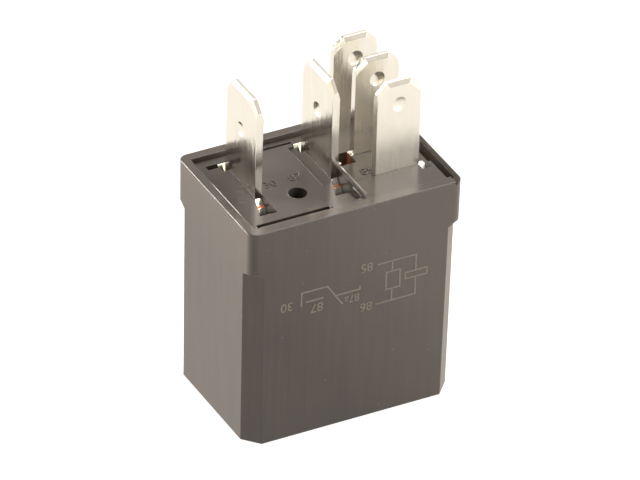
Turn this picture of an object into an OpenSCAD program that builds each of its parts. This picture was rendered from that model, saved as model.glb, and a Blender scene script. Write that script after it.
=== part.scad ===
// Micro changeover relay with five blade terminals and a parallel resistor.
// The closed end of the cover rests on z = 0 and the blades point up (+Z).
// X runs along the wide face, Y across the body, and the printed face is at -Y.
// Every piece is drawn where it sits with the coil switched off.

/* [Cover] */
// Width of the cover at its rim, along X
cover_w = 23.5; // [20:0.1:30]
// Depth of the cover at its rim, along Y
cover_d = 15.9; // [13:0.1:20]
// Height of the cover, from the closed end to the rim
cover_h = 25.2; // [20:0.1:35]
// How much narrower the closed end is, along X
draft_w = 0.55; // [0:0.05:1.5]
// How much narrower the closed end is, along Y
draft_d = 0.2; // [0:0.05:1]
// Wall thickness of the two narrow sides
wall_x = 0.9; // [0.6:0.05:1.5]
// Wall thickness of the two wide sides
wall_y = 1.1; // [0.6:0.05:1.5]
// Thickness of the closed end
floor_t = 1.2; // [0.8:0.1:2]
// Corner cut below the collar, measured along X
corner_x = 1.5; // [0.5:0.05:2.5]
// Corner cut below the collar, measured along Y
corner_y = 1.65; // [0.5:0.05:2.5]
// Height of the square-cornered collar around the rim
collar_h = 4.7; // [3:0.1:7]
// Height of the slope under each collar corner
collar_slope = 0.5; // [0.2:0.05:1.5]
// Radius of the collar's upright corners
collar_r = 0.9; // [0.2:0.05:1.5]

/* [Base] */
// Drop from the rim to the base's top face
base_drop = 0.45; // [0:0.05:1.5]
// Thickness of the base
base_t = 2.0; // [1.5:0.1:3]
// Play between the base and the cover
base_play = 0.05; // [0.02:0.01:0.2]
// Dark gap along the right wall
right_gap = 0.4; // [0:0.05:1]
// Dark gap along the back wall
back_gap = 0.25; // [0:0.05:1]
// Diameter of the vent hole
vent_d = 1.95; // [1:0.05:3]
// Centre of the vent hole, X and Y
vent_at = [-3.75, -2.35];

/* [Terminals] */
// Thickness of all the blades
blade_t = 0.8; // [0.5:0.1:1.2]
// Width of the two load blades
wide_blade = 6.3; // [4.8:0.1:7]
// Width of the two coil blades and the rest-contact blade
slim_blade = 4.8; // [2.8:0.1:6.3]
// Height of the two load blades' tips above the closed end
tip_z = 35.4; // [30:0.1:45]
// Extra height of the two coil blades
coil_extra = 0.1; // [0:0.05:1]
// Extra height of the rest-contact blade
rest_extra = 0.35; // [0:0.05:1]
// Corner cut of each blade tip
tip_corner = 1.1; // [0.4:0.05:2]
// Height of the lead-in bevel round each tip
lead_h = 0.5; // [0.2:0.05:1]
// Depth of the lead-in bevel on each side of the blade
lead_t = 0.2; // [0.05:0.01:0.3]
// Diameter of the detent dimples
dimple_d = 1.6; // [0.8:0.1:2]
// Depth of the detent dimples
dimple_depth = 0.22; // [0.05:0.01:0.3]
// Distance of a load blade's dimple from its tip
wide_dimple = 4.6; // [3:0.1:7]
// Distance of a slim blade's dimple from its tip
slim_dimple = 2.65; // [2:0.05:5]
// X of the common blade's middle
common_x = -7.47; // [-9:0.01:-5]
// X of the work-contact blade's middle
work_x = 0.93; // [-2:0.01:3]
// Y of the middle of both load blades
load_y = 1.97; // [-3:0.01:3]
// X of the middle of the three slim blades
slim_x = 6.7; // [4:0.01:9]
// Y of the rest-contact blade
rest_y = 1.58; // [-3:0.01:3]
// Spacing of the three slim blades along Y
slim_pitch = 4.6; // [3:0.05:6]

/* [Magnet] */
// X of the coil's axis
coil_x = -0.6; // [-2:0.05:2]
// Outside radius of the winding
winding_r = 4.6; // [3:0.05:5]
// Radius of the iron core
core_r = 1.9; // [1:0.05:3]
// Height of the core's pole face
pole_z = 6.2; // [5:0.1:8]
// Thickness of the yoke's two legs
yoke_t = 1.4; // [1:0.05:2]
// Width of the yoke
yoke_w = 9.6; // [6:0.1:12]
// Thickness of the armature
armature_t = 1.3; // [0.8:0.05:2]

/* [Contacts] */
// Angle the armature hangs open with the coil off, in degrees
open_angle = 3; // [1:0.1:6]
// Thickness of the contact spring
spring_t = 0.2; // [0.1:0.01:0.4]
// X of the three contacts
contact_x = 7.7; // [6:0.05:9]
// Radius of the contact buttons
contact_r = 1.1; // [0.6:0.05:1.6]
// Height of the moving contact on each side of the spring
contact_h = 0.6; // [0.3:0.05:1]

/* [Hidden] */
e = 0.01;
base_top = cover_h - base_drop;
base_z = base_top - base_t;
deck_top = cover_h - 0.05;
strip_z = base_z - blade_t;
edge_r = 0.08;
rim_fall = 0.45;
undercut = 0.3;
cavity_x = cover_w / 2 - wall_x;
cavity_y = cover_d / 2 - wall_y;
front_y = rest_y - slim_pitch;
back_y = rest_y + slim_pitch;
slot_play = 0.03;
// a load blade's foot widens forwards by step_y below step_z, and its heel
// carries a lug of thickness lug_t that is bent out to the left
step_y = 0.8;
step_z = base_top - 0.9;
lug_w = 0.65;
lug_t = 0.5;
lug_h = 1.3;
// shoulders and inner strip of the slim terminals
coil_shoulder_x = 9.95;
shoulder_z = base_top + 0.1;
rest_shoulder_x = slim_x - slim_blade / 2 - 0.3;
strip_end = 2.45;
pocket_z = base_top - 1.4;
foot_y = load_y - wide_blade / 2;
heel_y = load_y + wide_blade / 2;
// outer face of the yoke's upright leg, where the common terminal lies on it
yoke_x = common_x + blade_t / 2;
yoke_top = base_z - 1.45;
flange_top = yoke_top - yoke_t;
flange_t = 1.0;
shoe_t = 0.9;
spring_z = pole_z - armature_t - spring_t;
// fixed contacts: the work contact meets the moving one at the end of its
// travel, and the rest contact carries it at rest
work_face = spring_z + spring_t + contact_h;
reach = contact_x + contact_r - yoke_x;
rest_face = pole_z - reach * sin(open_angle)
          - (pole_z - spring_z + contact_h) * cos(open_angle) - 0.02;
work_leg_x = 5.4;
rivet_y = [-2.4, 2.4];
// inside radius of the loop that the spring makes round the hinge
spring_bend = 1.05;
rest_leg_x = cavity_x - 0.55 - blade_t;
resistor_x = 7.9;
resistor_z = flange_top - 0.45;
lead_front = front_y + blade_t / 2 + 0.25;
lead_back = back_y - blade_t / 2 - 0.25;
steel = [0.62, 0.60, 0.56];
tin = [0.86, 0.83, 0.77];
black = [0.09, 0.085, 0.08];
copper = [0.72, 0.42, 0.22];
silver = [0.88, 0.88, 0.86];

// ---- shared shapes ----

// box from one corner to the opposite one
module box(a, b) {
    translate(a) cube([b[0] - a[0], b[1] - a[1], b[2] - a[2]]);
}

module round_rect(hx, hy, r) {
    square([2 * hx, 2 * (hy - r)], center = true);
    square([2 * (hx - r), 2 * hy], center = true);
    for (sx = [-1, 1], sy = [-1, 1])
        translate([sx * (hx - r), sy * (hy - r)]) circle(r = r, $fn = 32);
}

module cut_rect(hx, hy, cx, cy)
    polygon([[hx - cx, hy], [hx, hy - cy], [hx, cy - hy], [hx - cx, -hy],
             [cx - hx, -hy], [-hx, cy - hy], [-hx, hy - cy], [cx - hx, hy]]);

// half sizes of the cover's outside at height z
function half_x(z) = cover_w / 2 - draft_w / 2 * (1 - z / cover_h);
function half_y(z) = cover_d / 2 - draft_d / 2 * (1 - z / cover_h);

// thin slices of the cover, used as the ends of its tapered blocks
module cut_slice(z, inset = 0)
    translate([0, 0, z]) linear_extrude(height = e)
        cut_rect(half_x(z) - inset, half_y(z) - inset, corner_x, corner_y);

module square_slice(z, inset = 0)
    translate([0, 0, z - e]) linear_extrude(height = e)
        round_rect(half_x(z) - inset, half_y(z) - inset, collar_r);

// endless blade whose edge at z = 0 is bevelled on both sides
module lead_in() {
    long = 4 * tip_z;
    rotate([90, 0, 90]) linear_extrude(height = long, center = true)
        polygon([[-blade_t / 2, -long], [blade_t / 2, -long],
                 [blade_t / 2, -lead_h], [blade_t / 2 - lead_t, 0],
                 [lead_t - blade_t / 2, 0], [-blade_t / 2, -lead_h]]);
}

// blade in the XZ plane with its tip up; the foot is at z = from, and a
// shallow dimple on each side lies below the tip
module blade(width, from, to, dimple) {
    corner = [width / 2 - tip_corner / 2, 0, to - tip_corner / 2];
    ball_r = (dimple_d * dimple_d / 4 + dimple_depth * dimple_depth) / 2 / dimple_depth;
    difference() {
        intersection() {
            translate([-width / 2, -blade_t, from])
                cube([width, 2 * blade_t, to - from]);
            translate([0, 0, to]) lead_in();
            translate(corner) rotate([0, 45, 0]) lead_in();
            translate([-corner[0], 0, corner[2]]) rotate([0, -45, 0]) lead_in();
        }
        for (side = [-1, 1])
            translate([0, side * (blade_t / 2 + ball_r - dimple_depth), to - dimple])
                sphere(r = ball_r, $fn = 64);
    }
}

// turns a piece of the armature from the pulled-in place to the open one
module swing()
    translate([yoke_x, 0, pole_z]) rotate([0, open_angle, 0])
        translate([-yoke_x, 0, -pole_z]) children();

// the same turn for a point of a profile, given as X and Z
function hung(x, z) = [
    yoke_x + (x - yoke_x) * cos(open_angle) + (z - pole_z) * sin(open_angle),
    pole_z - (x - yoke_x) * sin(open_angle) + (z - pole_z) * cos(open_angle)];

function spring_loop(r, angle) =
    hung(yoke_x - 0.06 + r * cos(angle),
         spring_z + spring_t + spring_bend + r * sin(angle));

module rivet(shank_r, head_r, head_h, length) {
    cylinder(r = shank_r, h = length, $fn = 48);
    translate([0, 0, -head_h]) cylinder(r = head_r, h = head_h, $fn = 48);
}

// holes for the rivets that join the common terminal to the yoke
module terminal_rivet_holes()
    for (z = [14.5, 18])
        translate([yoke_x - 2, 1.8, z]) rotate([0, 90, 0])
            cylinder(r = 0.7, h = 5, $fn = 48);

// ---- housing ----

module cover_outside() {
    cut_z = cover_h - collar_h - collar_slope;
    hull() {
        cut_slice(0, edge_r);
        cut_slice(edge_r);
        cut_slice(cut_z - e);
    }
    hull() {
        cut_slice(cut_z - e);
        square_slice(cover_h - collar_h + e);
    }
    hull() {
        square_slice(cover_h - collar_h + e);
        square_slice(cover_h - edge_r);
        square_slice(cover_h, edge_r);
    }
}

module cover()
    color(black) difference() {
        cover_outside();
        // cavity, with cut corners that leave a ledge under the base
        hull() {
            translate([0, 0, floor_t]) linear_extrude(height = e)
                cut_rect(half_x(0) - wall_x, half_y(0) - wall_y, 1.2, 1.3);
            translate([0, 0, base_z]) linear_extrude(height = e)
                cut_rect(cavity_x, cavity_y, 1.2, 1.3);
        }
        box([-cavity_x, -cavity_y, base_z], [cavity_x, cavity_y, cover_h + 1]);
        // the right wall's rim falls away towards the base, over an undercut
        translate([0, cover_d, 0]) rotate([90, 0, 0])
            linear_extrude(height = 2 * cover_d)
                polygon([[cavity_x - e, cover_h - rim_fall], [cavity_x - e, cover_h + 1],
                         [cover_w / 2 + 0.5, cover_h + rim_fall]]);
        box([cavity_x - 1, -cavity_y, base_z],
            [cavity_x + undercut, cavity_y, cover_h - rim_fall - 0.15]);
    }

// slot of a load blade whose middle is at x, the pocket in front of its foot,
// and the pocket of its heel lug, which reaches heel_w to the left of the blade
module load_slot(x, heel_w) {
    left = x - blade_t / 2 - slot_play;
    right = x + blade_t / 2 + slot_play;
    back = heel_y + lug_t + slot_play;
    box([left, foot_y - step_y - 0.4 - slot_play, base_z - 1], [right, back, step_z]);
    box([left, foot_y - slot_play, base_z - 1], [right, back, base_top + 1]);
    box([left, foot_y - 1.95, step_z - 0.7], [right, foot_y, base_top + 1]);
    box([left, foot_y - 3.3, base_top - 0.6], [right, foot_y, base_top + 1]);
    box([left - heel_w, heel_y - 0.15, base_top - lug_h], [right, back, base_top + 1]);
    box([left - lug_w, heel_y - 0.9, base_top - lug_h], [right, back, base_top + 1]);
}

module slim_slot(y)
    box([slim_x - slim_blade / 2 - slot_play, y - blade_t / 2 - slot_play, base_z - 1],
        [slim_x + slim_blade / 2 + slot_play, y + blade_t / 2 + slot_play, cover_h + 1]);

// bar along Y with round ends and a rounded top
module rib(x, y0, y1, r, height)
    translate([x, y0, base_top]) {
        for (y = [0, y1 - y0])
            translate([0, y, height - r]) sphere(r = r, $fn = 32);
        for (y = [0, y1 - y0])
            cylinder(r = r, h = height - r, $fn = 32);
        translate([0, 0, height - r]) rotate([-90, 0, 0])
            cylinder(r = r, h = y1 - y0, $fn = 32);
        translate([-r, 0, 0]) cube([2 * r, y1 - y0, height - r]);
    }

module base() {
    front = base_play - cavity_y;
    right = cavity_x - right_gap;
    groove_end = -2.1;
    deck_x = 1.95;
    color(black) difference() {
        union() {
            box([-cavity_x + base_play, front, base_z],
                [right, cavity_y - back_gap, base_top]);
            // raised deck at the front right, level with the rim
            box([deck_x, front, base_top], [right, front_y - blade_t / 2, deck_top]);
            box([groove_end, front, base_top], [deck_x, front + 0.45, deck_top]);
            // ledge between the front groove and the front wall
            box([-10, front, base_top], [groove_end, front + 0.4, base_top + 0.25]);
            rib(1.6, -6.1, -1.0, 0.45, 0.75);
        }
        // groove along the front wall
        box([-10.1, front + 0.78, base_top - 0.9],
            [groove_end, front + 1.08, cover_h + 1]);
        translate([vent_at[0], vent_at[1], base_z - 1])
            cylinder(d = vent_d, h = base_t + 2, $fn = 64);
        load_slot(common_x, 1.9);
        load_slot(work_x, 0.8);
        // sunk strip and fine groove beside the work terminal
        box([work_x - 1.83, foot_y - 1.1, base_top - 0.2],
            [work_x, heel_y, base_top + 1]);
        box([work_x - 1.83, foot_y - 1.1, base_top - 0.6],
            [work_x - 1.63, 2.8, base_top + 1]);
        for (y = [front_y, rest_y, back_y]) slim_slot(y);
        // pocket left of the rest blade, with the slot of the strip at its bottom
        box([strip_end - 0.1, rest_y - blade_t / 2 - slot_play, base_z - 1],
            [slim_x, rest_y + blade_t / 2 + slot_play, pocket_z]);
        box([strip_end - 0.1, 0, pocket_z],
            [rest_shoulder_x, rest_y + 0.5, base_top + 1]);
        box([rest_shoulder_x - slot_play, rest_y - blade_t / 2 - slot_play, pocket_z],
            [slim_x, rest_y + blade_t / 2 + slot_play, base_top + 1]);
        // groove behind the deck
        box([deck_x, front_y - 0.45, base_top - 0.5],
            [slim_x - slim_blade / 2 - 0.1, front_y + 0.1, base_top + 1]);
        // slot and pocket of the front coil terminal's shoulder
        box([slim_x, front_y - blade_t / 2 - slot_play, base_z - 1],
            [coil_shoulder_x + slot_play, front_y + blade_t / 2 + slot_play, cover_h + 1]);
        box([slim_x + slim_blade / 2 - slot_play, front_y - 0.9 - slot_play, base_z - 1],
            [coil_shoulder_x + slot_play, front_y, cover_h + 1]);
        box([slim_x + slim_blade / 2 - slot_play, front_y - 1.35, shoulder_z - 0.8],
            [coil_shoulder_x + slot_play, front_y, cover_h + 1]);
        // latch slot beside the back wall
        box([-3.6, 5.75, base_top - 0.3], [-0.2, 6.05, base_top + 1]);
    }
}

// ---- terminals ----

// extrudes a profile given as Y and Z from x = left to x = right
module along_x(left, right)
    translate([left, 0, 0]) rotate([90, 0, 90])
        linear_extrude(height = right - left) children();

// load blade at x with its stepped foot and the lug bent out at its heel
module load_blade(x, from) {
    left = x - blade_t / 2;
    right = x + blade_t / 2;
    translate([x, load_y, 0]) rotate([0, 0, 90])
        blade(wide_blade, from, tip_z, wide_dimple);
    // two slopes with a flat step between them
    along_x(left, right)
        polygon([[foot_y + 1, base_z], [foot_y + 1, step_z + 0.6], [foot_y, step_z + 0.6],
                 [foot_y - 0.4, step_z], [foot_y - step_y, step_z],
                 [foot_y - step_y - 0.4, step_z - 0.6], [foot_y - step_y - 0.4, base_z]]);
    along_x(left - lug_w, right)
        polygon([[heel_y - 0.1, base_top - lug_h], [heel_y + lug_t - 0.1, base_top - 0.05],
                 [heel_y + lug_t, base_top - 0.05], [heel_y + lug_t, base_top - lug_h]]);
}

module terminal_common()
    color(tin) difference() {
        union() {
            load_blade(common_x, base_z);
            // inner leg that lies on the yoke
            box([common_x - blade_t / 2, -1.0, 12.4], [yoke_x, 4.6, base_z + e]);
        }
        terminal_rivet_holes();
    }

module terminal_work()
    color(tin) {
        leg_y = 2.2;
        arm_z = work_face + 0.7;
        load_blade(work_x, strip_z);
        // strip under the base, upright leg and contact arm
        box([work_x - blade_t / 2, leg_y, strip_z], [work_leg_x + blade_t, 5.0, base_z]);
        box([work_leg_x, leg_y, 13], [work_leg_x + blade_t, 5.0, base_z]);
        box([work_leg_x, -2.0, arm_z], [work_leg_x + blade_t, 5.0, 13]);
        box([work_leg_x, -2.0, arm_z], [contact_x + 1.4, 2.0, arm_z + blade_t]);
    }

module terminal_rest()
    color(tin) {
        y0 = rest_y - blade_t / 2;
        y1 = rest_y + blade_t / 2;
        leg_right = rest_leg_x + blade_t;
        arm_z = rest_face - 0.6 - blade_t;
        translate([slim_x, rest_y, 0])
            blade(slim_blade, strip_z, tip_z + rest_extra, slim_dimple);
        // shoulder, and the strip in the pocket with its raised end
        box([rest_shoulder_x, y0, base_z], [slim_x, y1, base_top + 0.1]);
        box([strip_end, y0, base_z], [slim_x, y1, base_z + 0.3]);
        box([strip_end, y0, base_z], [strip_end + 0.55, y1, base_top - 0.55]);
        // strip to the right wall, upright leg and contact arm
        box([slim_x, y0, strip_z - 0.3], [leg_right, y1, base_z]);
        box([rest_leg_x, -2.0, arm_z], [leg_right, y1, base_z]);
        box([contact_x - 1.4, -2.0, arm_z], [leg_right, y1, arm_z + blade_t]);
    }

// blade and inner plate of a coil terminal, with the tail its wire is wound on
module coil_terminal(y) {
    x0 = slim_x - slim_blade / 2;
    translate([slim_x, y, 0])
        blade(slim_blade, base_z - 1.6, tip_z + coil_extra, slim_dimple);
    box([x0 + 0.6, y - blade_t / 2, flange_top - 2.4],
        [x0 + 1.2, y + blade_t / 2, base_z]);
}

module terminal_coil_front()
    color(tin) {
        coil_terminal(front_y);
        // shoulder whose front slopes forwards
        box([slim_x, front_y - blade_t / 2, base_z],
            [coil_shoulder_x, front_y + blade_t / 2, shoulder_z - 0.9]);
        along_x(slim_x + slim_blade / 2, coil_shoulder_x)
            polygon([[front_y + blade_t / 2, base_z], [front_y + blade_t / 2, shoulder_z],
                     [front_y - 0.1, shoulder_z], [front_y - 0.9, shoulder_z - 0.8],
                     [front_y - 0.9, base_z]]);
    }

module terminal_coil_back()
    color(tin) coil_terminal(back_y);

// ---- magnet ----

module yoke()
    color(steel) difference() {
        union() {
            box([yoke_x, -yoke_w / 2, pole_z], [yoke_x + yoke_t, yoke_w / 2, yoke_top]);
            box([yoke_x, -yoke_w / 2, flange_top], [coil_x + 3.2, yoke_w / 2, yoke_top]);
        }
        translate([coil_x, 0, flange_top - 1]) cylinder(r = 1.4, h = 4, $fn = 48);
        for (y = rivet_y)
            translate([yoke_x - 1, y, 9.7]) rotate([0, 90, 0])
                cylinder(r = 0.6, h = 4, $fn = 48);
        terminal_rivet_holes();
    }

module core()
    color(steel) translate([coil_x, 0, pole_z]) {
        cylinder(r = 3.3, h = shoe_t, $fn = 72);
        cylinder(r = core_r, h = flange_top - pole_z, $fn = 64);
        cylinder(r = 1.4, h = yoke_top + 0.2 - pole_z, $fn = 48);
    }

module bobbin_flange(z)
    translate([coil_x - 0.15, 0, z]) linear_extrude(height = flange_t)
        round_rect(4.75, 5.2, 1);

module bobbin()
    color([0.80, 0.78, 0.70]) difference() {
        union() {
            bobbin_flange(pole_z + shoe_t);
            bobbin_flange(flange_top - flange_t);
            translate([coil_x, 0, pole_z + shoe_t])
                cylinder(r = core_r + 0.7, h = flange_top - pole_z - shoe_t, $fn = 64);
        }
        translate([coil_x, 0, 0]) cylinder(r = core_r + 0.05, h = cover_h, $fn = 64);
    }

module winding()
    color(copper) translate([coil_x, 0, pole_z + shoe_t + flange_t]) difference() {
        cylinder(r = winding_r, h = flange_top - pole_z - shoe_t - 2 * flange_t,
                 $fn = 96);
        translate([0, 0, -1]) cylinder(r = core_r + 0.7, h = cover_h, $fn = 64);
    }

// wire from a coil terminal's tail to the winding
module coil_end(y) {
    x = slim_x - slim_blade / 2 + 0.9;
    z = flange_top - 2.0;
    side = y > 0 ? 1 : -1;
    from = [x - 0.3, y - side * 0.2];
    way = [coil_x, 0] - from;
    angle = atan2(way[1], way[0]);
    length = norm(way) - winding_r + 0.1;
    difference() {
        translate([x, y, z - 0.3]) cylinder(r = 0.6, h = 0.6, $fn = 40);
        box([x - 0.3, y - blade_t / 2, z - 1], [x + 0.3, y + blade_t / 2, z + 1]);
    }
    difference() {
        translate([from[0], from[1], z]) rotate([0, 90, angle])
            cylinder(r = 0.12, h = length, $fn = 24);
        box([x - 0.3, y - blade_t / 2, z - 1], [x + 0.3, y + blade_t / 2, z + 1]);
        translate([coil_x, 0, 0]) cylinder(r = winding_r, h = cover_h, $fn = 96);
    }
}

module coil_end_front()
    color(copper) coil_end(front_y);

module coil_end_back()
    color(copper) coil_end(back_y);

// ---- armature and contacts ----

module armature()
    color(steel) swing() difference() {
        box([yoke_x, -4.5, pole_z - armature_t], [coil_x + 4.2, 4.5, pole_z]);
        for (y = rivet_y)
            translate([yoke_x + 2.1, y, 0]) cylinder(r = 0.6, h = pole_z - 0.2, $fn = 48);
    }

// leaf with one leg riveted to the yoke and the other to the armature; it loops
// round the hinge, and its free end carries the moving contact
module contact_spring() {
    t = spring_t;
    top = spring_z + t;
    in_start = spring_loop(spring_bend, 138);
    out_start = spring_loop(spring_bend + t, 138);
    color(copper) difference() {
        translate([0, 3.6, 0]) rotate([90, 0, 0]) linear_extrude(height = 7.2)
            polygon(concat(
                [[yoke_x - t, 11.4], [yoke_x, 11.4],
                 [yoke_x, in_start[1] + yoke_x - in_start[0]]],
                [for (a = [138 : 11 : 270]) spring_loop(spring_bend, a)],
                [hung(contact_x + 1.3, top), hung(contact_x + 1.3, spring_z)],
                [for (a = [270 : -11 : 138]) spring_loop(spring_bend + t, a)],
                [[yoke_x - t, out_start[1] + yoke_x - t - out_start[0]]]));
        // narrow arm beyond the armature
        for (y = [-4, 1.6])
            translate([coil_x + 3.6, y, 0]) cube([12, 2.4, pole_z]);
        for (y = rivet_y)
            translate([yoke_x - 1, y, 9.7]) rotate([0, 90, 0])
                cylinder(r = 0.6, h = 4, $fn = 48);
        swing() for (p = concat([for (y = rivet_y) [yoke_x + 2.1, y]], [[contact_x, 0]]))
            translate([p[0], p[1], spring_z - 1]) cylinder(r = 0.6, h = 3, $fn = 48);
    }
}

module moving_contact()
    color(silver) swing() translate([contact_x, 0, spring_z]) {
        translate([0, 0, -contact_h]) cylinder(r = contact_r, h = contact_h, $fn = 64);
        cylinder(r = 0.6, h = spring_t, $fn = 48);
        translate([0, 0, spring_t]) cylinder(r = contact_r, h = contact_h, $fn = 64);
    }

module work_contact()
    color(silver) translate([contact_x, 0, work_face])
        cylinder(r = contact_r, h = 0.7, $fn = 64);

module rest_contact()
    color(silver) translate([contact_x, 0, rest_face - 0.6])
        cylinder(r = contact_r, h = 0.6, $fn = 64);

// ---- rivets ----

module yoke_rivets()
    color(steel) for (y = rivet_y)
        translate([yoke_x - spring_t, y, 9.7]) rotate([0, 90, 0])
            rivet(0.6, 1.0, 0.6, yoke_t + spring_t);

module armature_rivets()
    color(steel) swing() for (y = rivet_y)
        translate([yoke_x + 2.1, y, spring_z])
            rivet(0.6, 1.0, 0.5, armature_t + spring_t - 0.2);

module terminal_rivets()
    color(steel) for (z = [14.5, 18])
        translate([common_x - blade_t / 2, 1.8, z]) rotate([0, 90, 0])
            rivet(0.7, 1.2, 0.5, blade_t + yoke_t);

// ---- resistor ----

module resistor()
    color([0.25, 0.42, 0.62]) {
        translate([resistor_x, -1.3, resistor_z]) rotate([-90, 0, 0])
            cylinder(r = 0.8, h = 5, $fn = 48);
        for (y = [-1.3, 2.7])
            translate([resistor_x, y, resistor_z]) rotate([-90, 0, 0])
                cylinder(r = 0.95, h = 1, $fn = 48);
    }

module lead(y, body_y) {
    translate([resistor_x, min(y, body_y), resistor_z]) rotate([-90, 0, 0])
        cylinder(r = 0.25, h = abs(body_y - y), $fn = 24);
    translate([resistor_x, y, resistor_z]) sphere(r = 0.25, $fn = 24);
    translate([resistor_x, y, resistor_z]) cylinder(r = 0.25, h = 3.0, $fn = 24);
}

module resistor_leads()
    color(tin) {
        lead(lead_front, -1.3);
        lead(lead_back, 3.7);
    }

cover();
base();
terminal_common();
terminal_work();
terminal_rest();
terminal_coil_front();
terminal_coil_back();
yoke();
core();
bobbin();
winding();
coil_end_front();
coil_end_back();
armature();
contact_spring();
moving_contact();
work_contact();
rest_contact();
yoke_rivets();
armature_rivets();
terminal_rivets();
resistor();
resistor_leads();
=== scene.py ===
from math import atan2, cos, pi, radians, sin

import bmesh
import bpy
from mathutils import Matrix, Quaternion, Vector


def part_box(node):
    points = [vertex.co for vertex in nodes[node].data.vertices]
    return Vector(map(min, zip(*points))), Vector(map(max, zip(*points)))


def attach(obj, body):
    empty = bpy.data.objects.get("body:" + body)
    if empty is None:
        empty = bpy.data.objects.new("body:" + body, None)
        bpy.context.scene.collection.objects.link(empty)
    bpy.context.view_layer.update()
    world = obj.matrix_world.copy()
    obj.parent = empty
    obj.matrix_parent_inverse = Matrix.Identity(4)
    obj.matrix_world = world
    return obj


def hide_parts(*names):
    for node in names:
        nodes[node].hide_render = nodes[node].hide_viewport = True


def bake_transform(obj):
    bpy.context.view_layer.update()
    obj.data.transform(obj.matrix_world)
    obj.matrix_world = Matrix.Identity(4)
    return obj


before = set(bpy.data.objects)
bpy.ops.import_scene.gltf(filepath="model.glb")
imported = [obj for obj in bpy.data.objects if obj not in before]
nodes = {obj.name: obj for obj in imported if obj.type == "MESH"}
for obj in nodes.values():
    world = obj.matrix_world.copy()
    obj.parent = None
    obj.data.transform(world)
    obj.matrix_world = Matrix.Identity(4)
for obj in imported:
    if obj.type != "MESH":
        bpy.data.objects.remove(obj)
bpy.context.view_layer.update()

MM = 0.001

BASE_TOP = 24.75 * MM
# tin faces that look up below this height are the cut steps of the load blades' feet
CUT_BELOW = 24.0 * MM
# end of the rest blade's shoulder, which looks left
REST_SHOULDER_X = 4.0 * MM
# the blades' lead-ins lie above this height
TIP_FROM = 33.0 * MM

# ---- camera ----

# the long lens stands off to the front left and looks down on the terminals
CAMERA_TARGET = Vector((0, -0.36, 16.9)) * MM
CAMERA_DISTANCE = 899.7 * MM
CAMERA_TURN = radians(28.58)
CAMERA_LIFT = radians(33.92)
CAMERA_ROLL = radians(1.70)
CAMERA_LENS = 512.8


def add_camera():
    """Stands the camera off the target by its turn from the front and its lift."""
    away = Vector((-sin(CAMERA_TURN) * cos(CAMERA_LIFT),
                   -cos(CAMERA_TURN) * cos(CAMERA_LIFT),
                   sin(CAMERA_LIFT)))
    data = bpy.data.cameras.new("camera")
    data.lens = CAMERA_LENS
    data.clip_start = 0.05
    data.clip_end = 20
    camera = bpy.data.objects.new("camera", data)
    camera.location = CAMERA_TARGET + away * CAMERA_DISTANCE
    camera.rotation_mode = "QUATERNION"
    aim = (-away).to_track_quat("-Z", "Y")
    camera.rotation_quaternion = aim @ Quaternion((0, 0, 1), CAMERA_ROLL)
    bpy.context.collection.objects.link(camera)
    bpy.context.scene.camera = camera


# ---- materials ----

def colour(code):
    """Turns an sRGB hex code such as #1f1d1b into linear RGBA."""
    channels = [int(code[i:i + 2], 16) / 255 for i in (1, 3, 5)]
    linear = [c / 12.92 if c <= 0.04045 else ((c + 0.055) / 1.055) ** 2.4 for c in channels]
    return (*linear, 1)


def add(tree, kind, inputs=None, **settings):
    """Adds a node. inputs maps a socket to a value, or to the output that feeds it."""
    node = tree.nodes.new(kind)
    for name, value in settings.items():
        setattr(node, name, value)
    for socket, value in (inputs or {}).items():
        if isinstance(value, bpy.types.NodeSocket):
            tree.links.new(value, node.inputs[socket])
        else:
            node.inputs[socket].default_value = value
    return node


def new_material(name):
    """Returns an empty material's tree with its output node, and the material."""
    material = bpy.data.materials.new(name)
    material.use_nodes = True
    tree = material.node_tree
    tree.nodes.clear()
    output = tree.nodes.new("ShaderNodeOutputMaterial")
    return material, tree, output


def per_mm(size):
    """Noise scale whose features are about this many millimetres across."""
    return 1 / (size * MM)


# Painted light: the walls' colour gets paler up and to the right, standing in for light that
# falls more strongly there. It was set to match how bright the walls look from the main
# camera, and it makes the right and back walls paler than black plastic.
PAINTED_LIGHT_WAY = (0.8, 0, 0.6)
PAINTED_LIGHT_FROM = 1 * MM
PAINTED_LIGHT_TO = 18 * MM
# the rim's top is glossier than the walls, which was also set to match
LAND_ROUGHNESS = 0.22
LAND_FROM = 25.0 * MM
LAND_TO = 25.1 * MM


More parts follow.
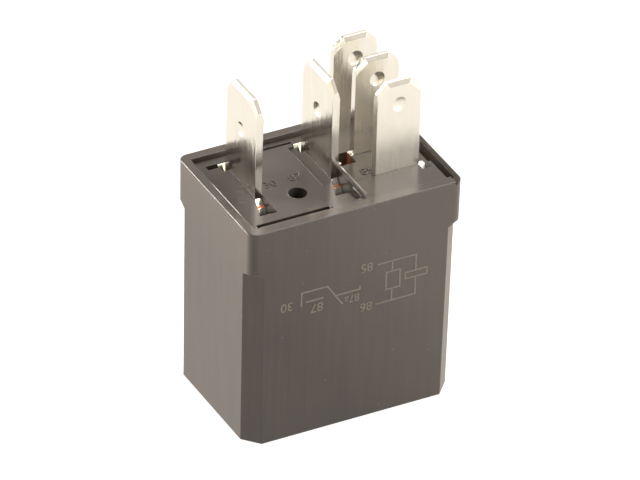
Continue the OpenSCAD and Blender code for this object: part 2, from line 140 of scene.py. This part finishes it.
def moulded_pbt(name, body, lit_tone, roughness, ior, edge_mm, painted_light_amount):
    """Black PBT, taken as from a spark-eroded mould: a satin skin with a faint grain and fine
    drag marks up the walls, rounded edges and a few pale specks of dust. The last argument
    sets how far the walls' colour moves from body towards the paler lit tone up and to the
    right: painted light, not a change in the plastic."""
    material, tree, output = new_material(name)
    place = add(tree, "ShaderNodeTexCoord").outputs["Object"]
    cloud = add(tree, "ShaderNodeTexNoise",
                {"Vector": place, "Scale": per_mm(6), "Detail": 3.0, "Roughness": 0.6})
    drawn = add(tree, "ShaderNodeMapping", {"Vector": place, "Scale": (1, 1, 0.05)})
    drag = add(tree, "ShaderNodeTexNoise",
               {"Vector": drawn.outputs[0], "Scale": per_mm(0.5), "Detail": 2.0})
    # painted light: the walls' colour pales towards the lit tone up and to the right
    along = add(tree, "ShaderNodeVectorMath", {0: place, 1: PAINTED_LIGHT_WAY}, operation="DOT_PRODUCT")
    painted_light_share = add(tree, "ShaderNodeMapRange",
                {"Value": along.outputs["Value"], "From Min": PAINTED_LIGHT_FROM, "From Max": PAINTED_LIGHT_TO,
                 "To Max": painted_light_amount})
    mottle = add(tree, "ShaderNodeMath",
                 {0: cloud.outputs["Fac"], 1: drag.outputs["Fac"]}, operation="MULTIPLY")
    mottle = add(tree, "ShaderNodeMapRange",
                 {"Value": mottle.outputs[0], "From Min": 0.05, "From Max": 0.5,
                  "To Max": 0.25})
    facing = add(tree, "ShaderNodeSeparateXYZ",
                 {0: add(tree, "ShaderNodeNewGeometry").outputs["True Normal"]})
    upright = add(tree, "ShaderNodeMapRange",
                  {"Value": facing.outputs[2], "From Min": 0.2, "From Max": 0.6,
                   "To Min": 1.0, "To Max": 0.0})
    painted_light_share = add(tree, "ShaderNodeMath", {0: painted_light_share.outputs[0], 1: upright.outputs[0]},
                operation="MULTIPLY")
    tone = add(tree, "ShaderNodeMath", {0: painted_light_share.outputs[0], 1: mottle.outputs[0]},
               operation="ADD")
    skin = add(tree, "ShaderNodeMix",
               {"Factor": tone.outputs[0], 6: colour(body), 7: colour(lit_tone)},
               data_type="RGBA")
    dust = add(tree, "ShaderNodeTexVoronoi", {"Vector": place, "Scale": per_mm(1.9)})
    speck = add(tree, "ShaderNodeMapRange",
                {"Value": dust.outputs["Distance"], "From Min": 0.02, "From Max": 0.045,
                 "To Min": 0.45, "To Max": 0.0})
    dusty = add(tree, "ShaderNodeMix",
                {"Factor": speck.outputs[0], 6: skin.outputs[2], 7: colour("#b8afa4")},
                data_type="RGBA")
    gloss = add(tree, "ShaderNodeMapRange",
                {"Value": cloud.outputs["Fac"], "From Min": 0.3, "From Max": 0.7,
                 "To Min": roughness - 0.04, "To Max": roughness + 0.04})
    height = add(tree, "ShaderNodeSeparateXYZ", {0: place})
    land = add(tree, "ShaderNodeMapRange",
               {"Value": height.outputs[2], "From Min": LAND_FROM, "From Max": LAND_TO})
    gloss = add(tree, "ShaderNodeMix",
                {"Factor": land.outputs[0], 2: gloss.outputs[0], 3: LAND_ROUGHNESS})
    rounded = add(tree, "ShaderNodeBevel", {"Radius": edge_mm * MM}, samples=6)
    grain = add(tree, "ShaderNodeTexNoise",
                {"Vector": place, "Scale": per_mm(0.14), "Detail": 2.0})
    relief = add(tree, "ShaderNodeMath",
                 {0: grain.outputs["Fac"], 1: drag.outputs["Fac"]}, operation="ADD")
    bump = add(tree, "ShaderNodeBump",
               {"Strength": 0.35, "Distance": 0.008 * MM, "Height": relief.outputs[0],
                "Normal": rounded.outputs[0]})
    shader = add(tree, "ShaderNodeBsdfPrincipled",
                 {"Base Color": dusty.outputs[2], "Roughness": gloss.outputs[0],
                  "IOR": ior, "Sheen Weight": 0.2, "Sheen Roughness": 0.5,
                  "Sheen Tint": colour("#fff0e4"), "Normal": bump.outputs[0]})
    tree.links.new(shader.outputs[0], output.inputs[0])
    return material


def tin_plate(name, smooth, rough):
    """Bright tin over copper alloy strip: mirror smooth between rolling lines up the blade,
    which drag every reflection out into streaks. The lead-ins along the slim blades' tips are
    painted darker and rougher as a device: painted shade, where the real tips look dark under
    this light. On the feet and on a shoulder's end the bare alloy is taken to show, torn and
    dull orange, as where a punch cut through the plating."""
    material, tree, output = new_material(name)
    place = add(tree, "ShaderNodeTexCoord").outputs["Object"]
    rolled = add(tree, "ShaderNodeMapping", {"Vector": place, "Scale": (1, 1, 0.04)})
    lines = add(tree, "ShaderNodeTexNoise",
                {"Vector": rolled.outputs[0], "Scale": per_mm(0.25), "Detail": 2.0})
    drawn = add(tree, "ShaderNodeMapping", {"Vector": place, "Scale": (1, 1, 0.3)})
    haze = add(tree, "ShaderNodeTexNoise",
               {"Vector": drawn.outputs[0], "Scale": per_mm(0.9), "Detail": 2.0})
    tint = add(tree, "ShaderNodeMix",
               {"Factor": haze.outputs["Fac"], 6: colour("#f6f1e6"), 7: colour("#fffdf7")},
               data_type="RGBA")
    gloss = add(tree, "ShaderNodeMapRange",
                {"Value": lines.outputs["Fac"], "From Min": 0.3, "From Max": 0.7,
                 "To Min": smooth, "To Max": rough})
    facing = add(tree, "ShaderNodeSeparateXYZ",
                 {0: add(tree, "ShaderNodeNewGeometry").outputs["True Normal"]})
    spot = add(tree, "ShaderNodeSeparateXYZ", {0: place})
    # painted shade: the lead-ins at the blade tips get a darker, rougher plate
    tip = add(tree, "ShaderNodeMath", {0: spot.outputs[2], 1: TIP_FROM},
              operation="GREATER_THAN")
    slope = add(tree, "ShaderNodeMath", {0: facing.outputs[2], 1: 0.5, 2: 0.4},
                operation="COMPARE")
    ahead = add(tree, "ShaderNodeMath", {0: facing.outputs[0], 1: 0.0, 2: 0.2},
                operation="COMPARE")
    painted_dark_tip = add(tree, "ShaderNodeMath", {0: tip.outputs[0], 1: slope.outputs[0]},
                 operation="MULTIPLY")
    painted_dark_tip = add(tree, "ShaderNodeMath", {0: painted_dark_tip.outputs[0], 1: ahead.outputs[0]},
                 operation="MULTIPLY")
    tint = add(tree, "ShaderNodeMix",
               {"Factor": painted_dark_tip.outputs[0], 6: tint.outputs[2], 7: colour("#a29e97")},
               data_type="RGBA")
    gloss = add(tree, "ShaderNodeMix",
                {"Factor": painted_dark_tip.outputs[0], 2: gloss.outputs[0], 3: 0.45})
    rounded = add(tree, "ShaderNodeBevel", {"Radius": 0.1 * MM}, samples=6)
    waves = add(tree, "ShaderNodeBump",
                {"Strength": 0.6, "Distance": 0.06 * MM, "Height": haze.outputs["Fac"],
                 "Normal": rounded.outputs[0]})
    bump = add(tree, "ShaderNodeBump",
               {"Strength": 0.5, "Distance": 0.012 * MM, "Height": lines.outputs["Fac"],
                "Normal": waves.outputs[0]})
    plate = add(tree, "ShaderNodeBsdfPrincipled",
                {"Base Color": tint.outputs[2], "Metallic": 1.0,
                 "Roughness": gloss.outputs[0], "Normal": bump.outputs[0]})

    # the cut foot steps face up below the base's top, the shoulder's end faces left
    up = add(tree, "ShaderNodeMath", {0: facing.outputs[2], 1: 0.9},
             operation="GREATER_THAN")
    low = add(tree, "ShaderNodeMath", {0: spot.outputs[2], 1: CUT_BELOW},
              operation="LESS_THAN")
    step = add(tree, "ShaderNodeMath", {0: up.outputs[0], 1: low.outputs[0]},
               operation="MULTIPLY")
    left = add(tree, "ShaderNodeMath", {0: facing.outputs[0], 1: -0.9},
               operation="LESS_THAN")
    near = add(tree, "ShaderNodeMath",
               {0: spot.outputs[0], 1: REST_SHOULDER_X, 2: 0.1 * MM}, operation="COMPARE")
    end = add(tree, "ShaderNodeMath", {0: left.outputs[0], 1: near.outputs[0]},
              operation="MULTIPLY")
    cut = add(tree, "ShaderNodeMath", {0: step.outputs[0], 1: end.outputs[0]},
              operation="MAXIMUM")
    torn = add(tree, "ShaderNodeMapping", {"Vector": place, "Scale": (1, 1, 0.3)})
    tear = add(tree, "ShaderNodeTexNoise",
               {"Vector": torn.outputs[0], "Scale": per_mm(0.15), "Detail": 3.0})
    flesh = add(tree, "ShaderNodeMix",
                {"Factor": tear.outputs["Fac"], 6: colour("#d98552"), 7: colour("#f5b48a")},
                data_type="RGBA")
    copper_cut = add(tree, "ShaderNodeBsdfPrincipled",
                     {"Base Color": flesh.outputs[2], "Metallic": 1.0, "Roughness": 0.6})
    both = add(tree, "ShaderNodeMixShader",
               {0: cut.outputs[0], 1: plate.outputs[0], 2: copper_cut.outputs[0]})
    tree.links.new(both.outputs[0], output.inputs[0])
    return material


def metal(name, dark, light, roughness, grain_mm, stretch=(1, 1, 1)):
    """Plain worked metal whose colour and gloss wander with its grain."""
    material, tree, output = new_material(name)
    place = add(tree, "ShaderNodeTexCoord").outputs["Object"]
    drawn = add(tree, "ShaderNodeMapping", {"Vector": place, "Scale": stretch})
    grain = add(tree, "ShaderNodeTexNoise",
                {"Vector": drawn.outputs[0], "Scale": per_mm(grain_mm), "Detail": 4.0})
    tint = add(tree, "ShaderNodeMix",
               {"Factor": grain.outputs["Fac"], 6: colour(dark), 7: colour(light)},
               data_type="RGBA")
    gloss = add(tree, "ShaderNodeMapRange",
                {"Value": grain.outputs["Fac"], "From Min": 0.3, "From Max": 0.7,
                 "To Min": roughness - 0.07, "To Max": roughness + 0.07})
    rounded = add(tree, "ShaderNodeBevel", {"Radius": 0.06 * MM}, samples=4)
    shader = add(tree, "ShaderNodeBsdfPrincipled",
                 {"Base Color": tint.outputs[2], "Metallic": 1.0,
                  "Roughness": gloss.outputs[0], "Normal": rounded.outputs[0]})
    tree.links.new(shader.outputs[0], output.inputs[0])
    return material


def laser_mark():
    """Laser marking in black PBT: the skin foams to a dull warm grey, a little broken up."""
    material, tree, output = new_material("laser_foamed_pbt")
    place = add(tree, "ShaderNodeTexCoord").outputs["Object"]
    foam = add(tree, "ShaderNodeTexNoise",
               {"Vector": place, "Scale": per_mm(0.25), "Detail": 2.0})
    tint = add(tree, "ShaderNodeMix",
               {"Factor": foam.outputs["Fac"], 6: colour("#857c72"), 7: colour("#ada498")},
               data_type="RGBA")
    shader = add(tree, "ShaderNodeBsdfPrincipled",
                 {"Base Color": tint.outputs[2], "Roughness": 0.75, "IOR": 1.5})
    tree.links.new(shader.outputs[0], output.inputs[0])
    return material


def polymer(name, body, fleck, roughness, grain_mm):
    """Plain moulded or dipped plastic with a slightly uneven tone."""
    material, tree, output = new_material(name)
    place = add(tree, "ShaderNodeTexCoord").outputs["Object"]
    cloud = add(tree, "ShaderNodeTexNoise",
                {"Vector": place, "Scale": per_mm(grain_mm), "Detail": 3.0})
    tint = add(tree, "ShaderNodeMix",
               {"Factor": cloud.outputs["Fac"], 6: colour(body), 7: colour(fleck)},
               data_type="RGBA")
    rounded = add(tree, "ShaderNodeBevel", {"Radius": 0.1 * MM}, samples=4)
    shader = add(tree, "ShaderNodeBsdfPrincipled",
                 {"Base Color": tint.outputs[2], "Roughness": roughness, "IOR": 1.53,
                  "Normal": rounded.outputs[0]})
    tree.links.new(shader.outputs[0], output.inputs[0])
    return material


# the second colour and the last number of each give the painted light on the walls: a paler
# lit tone, and how much of it
cover_pbt = moulded_pbt("satin_black_pbt", "#403936", "#6a615b", 0.36, 1.62, 0.09, 0.88)
base_pbt = moulded_pbt("smooth_black_pbt", "#494340", "#544d49", 0.24, 1.52, 0.04, 0.2)
tin = tin_plate("bright_tin_plate", 0.14, 0.22)
# A device: rougher on the front coil blade alone, so that it spreads the light of the
# front softbox. Nothing says that the real blade differs from the others.
rough_tin = tin_plate("rough_tin_plate", 0.30, 0.40)
iron = metal("zinc_plated_iron", "#9a9a94", "#c2c2ba", 0.38, 0.8)
copper = metal("enamelled_copper_wire", "#8a3f1c", "#b4622f", 0.3, 0.5)
bronze = metal("phosphor_bronze_strip", "#a9733f", "#c99358", 0.28, 0.4, (0.2, 1, 1))
silver = metal("contact_silver", "#d3d1ca", "#ecebe6", 0.25, 0.3)
nylon = polymer("natural_nylon", "#b9b29d", "#cbc5b2", 0.45, 1.5)
lacquer = polymer("resistor_lacquer", "#5c86a8", "#6f9abb", 0.35, 0.6)
marking = laser_mark()

FINISHES = {
    "cover": cover_pbt, "base": base_pbt,
    "terminal_common": tin, "terminal_work": tin, "terminal_rest": tin,
    "terminal_coil_front": rough_tin, "terminal_coil_back": tin,
    "yoke": iron, "core": iron, "armature": iron,
    "bobbin": nylon, "winding": copper,
    "coil_end_front": copper, "coil_end_back": copper,
    "contact_spring": bronze, "moving_contact": silver,
    "work_contact": silver, "rest_contact": silver,
    "yoke_rivets": iron, "armature_rivets": iron, "terminal_rivets": iron,
    "resistor": lacquer, "resistor_leads": tin,
}


def dress(piece, finish):
    """Gives every material slot of a piece the same finish."""
    if not piece.data.materials:
        piece.data.materials.append(finish)
    for i in range(len(piece.data.materials)):
        piece.data.materials[i] = finish


for node, finish in FINISHES.items():
    dress(nodes[node], finish)

# ---- marking on the cover ----

INK = 0.02 * MM
# the built-in face's figures are this share of its size
FIGURE_SHARE = 0.7
cover_low, cover_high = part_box("cover")
# the printed face leans back a little towards the closed end
FACE_LEAN = 0.1 * MM / (cover_high.z - cover_low.z)


def on_printed_face(piece, x, z, turned=True):
    """Lays a flat mesh, drawn in its own XY plane, on the printed face at x and z.
    turned puts it upside down, as the relay is marked to be read with its blades down."""
    if turned:
        piece.data.transform(Matrix.Rotation(pi, 4, "Z"))
    y = cover_low.y + FACE_LEAN * (cover_high.z - z)
    stand = Matrix.Translation((x, y, z)) @ Matrix.Rotation(pi / 2, 4, "X")
    piece.data.transform(stand)


def mesh_piece(name, bm, finish):
    """Turns a bmesh into a linked object with one finish."""
    mesh = bpy.data.meshes.new(name)
    bmesh.ops.recalc_face_normals(bm, faces=bm.faces)
    bm.to_mesh(mesh)
    bm.free()
    piece = bpy.data.objects.new(name, mesh)
    bpy.context.collection.objects.link(piece)
    mesh.materials.append(finish)
    return piece


def text_piece(name, words, height, rise):
    """Flat figures of a given height in the XY plane, as thick as twice their rise."""
    curve = bpy.data.curves.new(name, "FONT")
    curve.body = words
    curve.align_x = "CENTER"
    curve.align_y = "CENTER"
    curve.size = height / FIGURE_SHARE
    curve.extrude = rise
    text = bpy.data.objects.new(name, curve)
    bpy.context.collection.objects.link(text)
    bpy.context.view_layer.update()
    mesh = bpy.data.meshes.new_from_object(text)
    bpy.data.objects.remove(text)
    piece = bpy.data.objects.new(name, mesh)
    bpy.context.collection.objects.link(piece)
    mesh.materials.clear()
    return piece


def lettering(name, words, height, x, z):
    """Text marked on the printed face, centred on x and z."""
    piece = text_piece(name, words, height, INK)
    dress(piece, marking)
    on_printed_face(piece, x, z)
    return piece


def stroke(bm, start, end, width):
    """Adds a thin bar between two points of the printed face, in millimetres."""
    start = Vector((start[0], 0, start[1])) * MM
    end = Vector((end[0], 0, end[1])) * MM
    run = end - start
    middle = (start + end) / 2
    bar = bmesh.ops.create_cube(bm, size=1)["verts"]
    bmesh.ops.scale(bm, vec=(run.length + width, 2 * INK, width), verts=bar)
    turn = Matrix.Rotation(-atan2(run.z, run.x), 3, "Y")
    bmesh.ops.rotate(bm, cent=(0, 0, 0), matrix=turn, verts=bar)
    face_y = cover_low.y + FACE_LEAN * (cover_high.z - middle.z)
    bmesh.ops.translate(bm, vec=(middle.x, face_y, middle.z), verts=bar)


def line_drawing(name, lines, width):
    """Draws each line through its points as thin bars on the printed face."""
    bm = bmesh.new()
    for points in lines:
        for start, end in zip(points, points[1:]):
            stroke(bm, start, end, width)
    return mesh_piece(name, bm, marking)


def closed(x0, z0, x1, z1):
    """Corner points of a box drawn as one closed line."""
    return [(x0, z0), (x1, z0), (x1, z1), (x0, z1), (x0, z0)]


LINE = 0.17 * MM
coil_circuit = line_drawing("coil_circuit", [
    closed(3.4, 14.62, 4.95, 16.66),
    closed(5.55, 15.27, 7.95, 16.02),
    [(2.5, 17.88), (6.69, 17.88), (6.69, 16.02)],
    [(4.07, 17.88), (4.07, 16.66)],
    [(4.07, 14.62), (4.07, 13.2)],
    [(6.69, 15.27), (6.69, 13.2), (2.4, 13.2)],
], LINE)
contact_circuit = line_drawing("contact_circuit", [
    [(-5.98, 15.4), (-5.98, 16.92), (-3.14, 16.92), (-1.42, 14.4)],
    [(-2.13, 15.56), (0.5, 15.56), (0.5, 15.86)],
    [(-5.4, 15.72), (-3.61, 15.72)],
], LINE)
FIGURE = 1.0 * MM
SMALL_FIGURE = 0.85 * MM
labels = [
    lettering("mark_85", "85", FIGURE, 1.2 * MM, 17.94 * MM),
    lettering("mark_86", "86", FIGURE, 1.24 * MM, 13.28 * MM),
    lettering("mark_87a", "87a", SMALL_FIGURE, -0.36 * MM, 14.71 * MM),
    lettering("mark_87", "87", FIGURE, -4.25 * MM, 14.8 * MM),
    lettering("mark_30", "30", FIGURE, -7.58 * MM, 15.77 * MM),
]
for piece in [coil_circuit, contact_circuit] + labels:
    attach(piece, "housing")

# ---- mouldings with their pockets and gaps opened ----

# Bottom of the pockets, and how far their walls lean out per millimetre of height. The
# lean follows the main camera's line of sight. It is a device that lets the feet show, and
# the real pockets are taken to be upright, as in the part's source.
POCKET_BOTTOM = 23.25
FLARE_LEFT = 0.73
FLARE_FRONT = 1.32
# the lug at a load blade's heel reaches this far to its left
LUG_REACH = 0.65
SLIVER = 0.002 * MM


def block(bm, low, high):
    """Adds a box between two corners in millimetres and returns its vertices."""
    low, high = Vector(low) * MM, Vector(high) * MM
    verts = bmesh.ops.create_cube(bm, size=1)["verts"]
    bmesh.ops.scale(bm, vec=high - low, verts=verts)
    bmesh.ops.translate(bm, vec=(low + high) / 2, verts=verts)
    return verts


def flared_pocket(bm, blade):
    """Adds the hollow round a load blade's foot. It widens to the left and the front as it
    rises, so that the stepped foot shows from the main camera."""
    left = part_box(blade)[0].x / MM + LUG_REACH
    top = BASE_TOP / MM + 0.05
    verts = block(bm, (left - 0.03, -2.43, POCKET_BOTTOM), (left + 0.83, -1.2, top))
    rise = top - POCKET_BOTTOM
    for vert in verts:
        upper = vert.co.z > (POCKET_BOTTOM + 0.1) * MM
        front = vert.co.y < -2 * MM
        if upper and front:
            vert.co.y -= rise * FLARE_FRONT * MM
            if vert.co.x < (left + 0.4) * MM:
                vert.co.x -= rise * FLARE_LEFT * MM


def opened(name, node, finish, cutter):
    """Replaces a moulding's node with a copy that the cutter's boxes are taken from."""
    tool = mesh_piece("cutter", cutter, finish)
    bm = bmesh.new()
    bm.from_mesh(nodes[node].data)
    bmesh.ops.remove_doubles(bm, verts=bm.verts, dist=0.001 * MM)
    piece = mesh_piece(name, bm, finish)
    cut = piece.modifiers.new("cut", "BOOLEAN")
    cut.operation = "DIFFERENCE"
    cut.solver = "EXACT"
    cut.use_self = True
    cut.object = tool
    bpy.context.view_layer.update()
    shape = piece.evaluated_get(bpy.context.evaluated_depsgraph_get())
    bm = bmesh.new()
    bm.from_mesh(shape.data)
    # the cut leaves slivers along its edges
    bmesh.ops.remove_doubles(bm, verts=bm.verts, dist=SLIVER)
    bmesh.ops.dissolve_degenerate(bm, dist=SLIVER, edges=bm.edges)
    piece.modifiers.clear()
    bm.to_mesh(piece.data)
    bm.free()
    bpy.data.objects.remove(tool)
    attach(piece, "housing")
    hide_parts(node)


pockets = bmesh.new()
flared_pocket(pockets, "terminal_common")
flared_pocket(pockets, "terminal_work")
# wider groove along the front wall
block(pockets, (-10.12, -6.5, 24.03), (-2.08, -5.73, 25.3))
opened("base_moulding", "base", base_pbt, pockets)

# deeper gap between the base and the right wall
gap = bmesh.new()
block(gap, (10.8, -6.84, 23.6), (11.25, 6.84, 25.6))
opened("cover_moulding", "cover", cover_pbt, gap)

# ---- copy of the contact spring ----


def bending_spring():
    """Copies the leaf into a piece of its own and hides the part's node."""
    bm = bmesh.new()
    bm.from_mesh(nodes["contact_spring"].data)
    bmesh.ops.remove_doubles(bm, verts=bm.verts, dist=0.001 * MM)
    piece = mesh_piece("bent_leaf", bm, bronze)
    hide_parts("contact_spring")
    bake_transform(piece)


bending_spring()

# ---- raised numbers beside the blades ----

RELIEF = 0.06 * MM
RAISED_FIGURE = 1.05 * MM


def raised_number(name, words, height, x, y):
    """Figures that stand up from the base beside a blade."""
    piece = text_piece(name, words, height, RELIEF)
    dress(piece, base_pbt)
    piece.data.transform(Matrix.Translation((x, y, BASE_TOP)))
    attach(piece, "housing")


raised_number("raised_30", "30", RAISED_FIGURE, -5.5 * MM, 0.1 * MM)
raised_number("raised_87", "87", RAISED_FIGURE, -2.7 * MM, 0.2 * MM)
raised_number("raised_85", "85", RAISED_FIGURE, 4.2 * MM, -1.9 * MM)

# ---- floor, world and lamps ----

# the way to a dimmer part of the surroundings, found by trial
DIM_CEILING = Vector((-0.30, 0.75, 0.60)).normalized()
WARM_LAMP = colour("#fffaf2")[:3]
# what metal and glossy plastic mirror: paper white under warm lamps
WARM_WHITE = colour("#fff9f0")
RELAY_MIDDLE = Vector((0, 0, 0.018))


def add_floor():
    """White table that stays white to the eye and in mirrors, with a faint shadow at the
    relay's foot."""
    bm = bmesh.new()
    bmesh.ops.create_grid(bm, x_segments=1, y_segments=1, size=3)
    material, tree, output = new_material("white_table_laminate")
    path = add(tree, "ShaderNodeLightPath")
    reflected = add(tree, "ShaderNodeMath",
                    {0: path.outputs["Is Glossy Ray"],
                     1: path.outputs["Is Transmission Ray"]}, operation="MAXIMUM")
    base = add(tree, "ShaderNodeBsdfDiffuse", {"Color": colour("#a9a8a6")})
    mirrored = add(tree, "ShaderNodeEmission", {"Color": WARM_WHITE, "Strength": 1.0})
    glow = add(tree, "ShaderNodeEmission", {"Color": (1, 1, 1, 1), "Strength": 0.85})
    seen = add(tree, "ShaderNodeAddShader", {0: base.outputs[0], 1: glow.outputs[0]})
    both = add(tree, "ShaderNodeMixShader",
               {0: path.outputs["Is Camera Ray"], 1: base.outputs[0], 2: seen.outputs[0]})
    both = add(tree, "ShaderNodeMixShader",
               {0: reflected.outputs[0], 1: both.outputs[0], 2: mirrored.outputs[0]})
    tree.links.new(both.outputs[0], output.inputs[0])
    floor = mesh_piece("table", bm, material)


def add_world():
    """Studio surround: white where it is seen, and white in mirrors up to a dimmer part of
    the ceiling behind the relay."""
    world = bpy.data.worlds.new("studio")
    world.use_nodes = True
    tree = world.node_tree
    tree.nodes.clear()
    path = add(tree, "ShaderNodeLightPath")
    mirrored = add(tree, "ShaderNodeMath",
                   {0: path.outputs["Is Glossy Ray"], 1: path.outputs["Is Transmission Ray"]},
                   operation="MAXIMUM")
    heading = add(tree, "ShaderNodeVectorMath",
                  {0: add(tree, "ShaderNodeTexCoord").outputs["Generated"],
                   1: DIM_CEILING}, operation="DOT_PRODUCT")
    surround = add(tree, "ShaderNodeMapRange",
                   {"Value": heading.outputs["Value"], "From Min": 0.70, "From Max": 0.93,
                    "To Min": 1.0, "To Max": 0.15})
    glossy = add(tree, "ShaderNodeBackground",
                 {"Color": WARM_WHITE, "Strength": surround.outputs[0]})
    level = add(tree, "ShaderNodeMapRange",
                {"Value": path.outputs["Is Camera Ray"], "To Min": 0.15, "To Max": 1.0})
    plain = add(tree, "ShaderNodeBackground",
                {"Color": (1, 1, 1, 1), "Strength": level.outputs[0]})
    sky = add(tree, "ShaderNodeMixShader",
              {0: mirrored.outputs[0], 1: plain.outputs[0], 2: glossy.outputs[0]})
    output = tree.nodes.new("ShaderNodeOutputWorld")
    tree.links.new(sky.outputs[0], output.inputs[0])
    bpy.context.scene.world = world


def softbox(name, place, size, watts):
    """Square area lamp that points at the middle of the relay."""
    data = bpy.data.lights.new(name, "AREA")
    data.size = size
    data.energy = watts
    data.color = WARM_LAMP
    lamp = bpy.data.objects.new(name, data)
    lamp.location = place
    aim = RELAY_MIDDLE - lamp.location
    lamp.rotation_euler = aim.to_track_quat("-Z", "Y").to_euler()
    bpy.context.collection.objects.link(lamp)


add_camera()
add_floor()
add_world()
softbox("left_softbox", Vector((-0.66, 0.60, 0.08)), 0.5, 22)
softbox("front_softbox", Vector((0.48, -0.68, 0.34)), 0.55, 3.4)
softbox("right_softbox", Vector((0.45, 0.12, 0.64)), 0.7, 7.5)
bpy.context.scene.view_settings.view_transform = "Standard"
